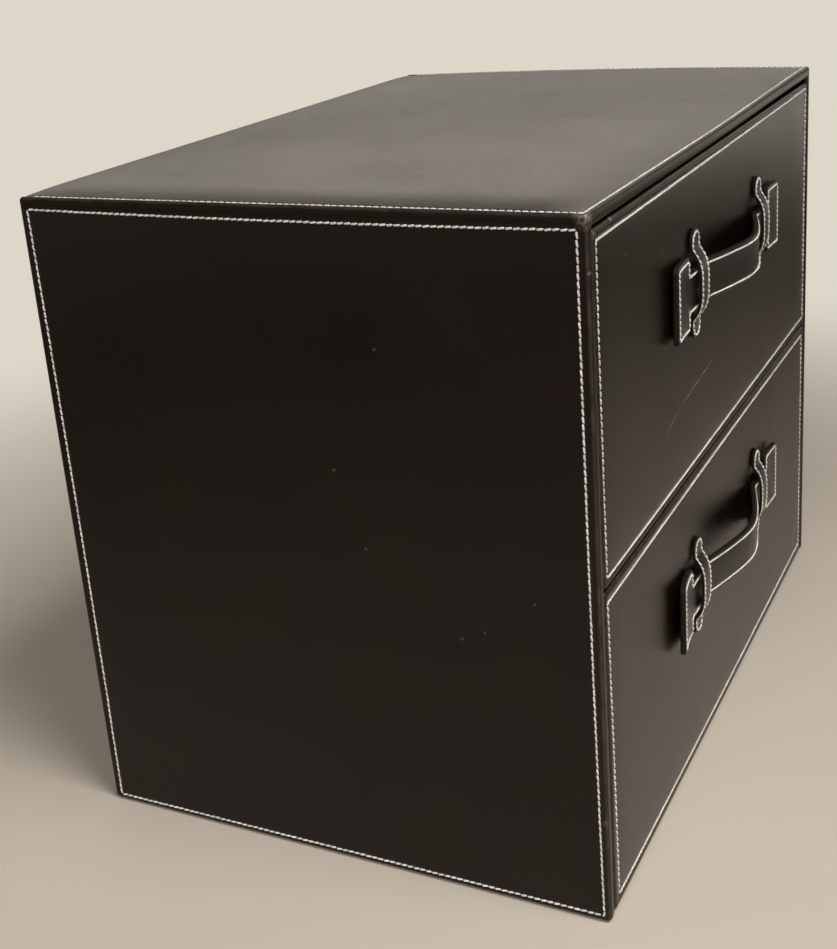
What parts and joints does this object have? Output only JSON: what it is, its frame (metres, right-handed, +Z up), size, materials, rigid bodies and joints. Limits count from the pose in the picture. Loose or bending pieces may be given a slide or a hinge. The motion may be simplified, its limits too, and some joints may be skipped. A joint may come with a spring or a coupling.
{
  "type": "two-drawer desk box",
  "caption": "Leatherette-covered desk box with felt-lined drawers that slide out of a cabinet, and strap handles held by sewn keepers.",
  "frame": {"origin": "on the surface that the box stands on, under the middle of the cabinet's base felt", "axes": "+Z up, -Y towards the drawer fronts, +X to the right as seen from the front"},
  "size_m": [0.375, 0.27, 0.3],
  "materials": {
    "leatherette": "satin, fine grain",
    "strap_leather": "satin, sewn",
    "felt": "matte, napped",
    "fibreboard": "raw",
    "tray_board": "covered with black paper"
  },
  "bodies": {
    "cabinet": {"outer_cover": "leatherette", "side_board_left": "fibreboard", "side_board_right": "fibreboard", "top_board": "fibreboard", "back_board": "fibreboard", "base_board": "fibreboard", "divider_board": "fibreboard", "side_lining_left": "felt", "side_lining_right": "felt", "top_lining": "felt", "back_lining": "felt", "base_lining": "felt", "divider_lining": "felt", "base_felt": "felt", "back_cover": "leatherette"},
    "upper_drawer": {"upper_front_cover": "leatherette", "upper_front_board": "fibreboard", "upper_inner_front": "tray_board", "upper_back_wall": "tray_board", "upper_left_wall": "tray_board", "upper_right_wall": "tray_board", "upper_bottom_board": "tray_board", "upper_felt_lining": "felt", "upper_keeper_left": "strap_leather", "upper_keeper_right": "strap_leather"},
    "lower_drawer": {"lower_front_cover": "leatherette", "lower_front_board": "fibreboard", "lower_inner_front": "tray_board", "lower_back_wall": "tray_board", "lower_left_wall": "tray_board", "lower_right_wall": "tray_board", "lower_bottom_board": "tray_board", "lower_felt_lining": "felt", "lower_keeper_left": "strap_leather", "lower_keeper_right": "strap_leather"},
    "upper_handle": {"upper_handle_strap": "strap_leather"},
    "lower_handle": {"lower_handle_strap": "strap_leather"}
  },
  "joints": [
    {"name": "upper_drawer_slide", "type": "slide", "parent": "cabinet", "child": "upper_drawer", "axis": [0, -1, 0], "range_m": [0, 0.215]},
    {"name": "lower_drawer_slide", "type": "slide", "parent": "cabinet", "child": "lower_drawer", "axis": [0, -1, 0], "range_m": [0, 0.215]},
    {"name": "upper_handle_play", "type": "slide", "parent": "upper_drawer", "child": "upper_handle", "axis": [1, 0, 0], "range_m": [-0.004, 0.004]},
    {"name": "lower_handle_play", "type": "slide", "parent": "lower_drawer", "child": "lower_handle", "axis": [1, 0, 0], "range_m": [-0.004, 0.004]}
  ]
}
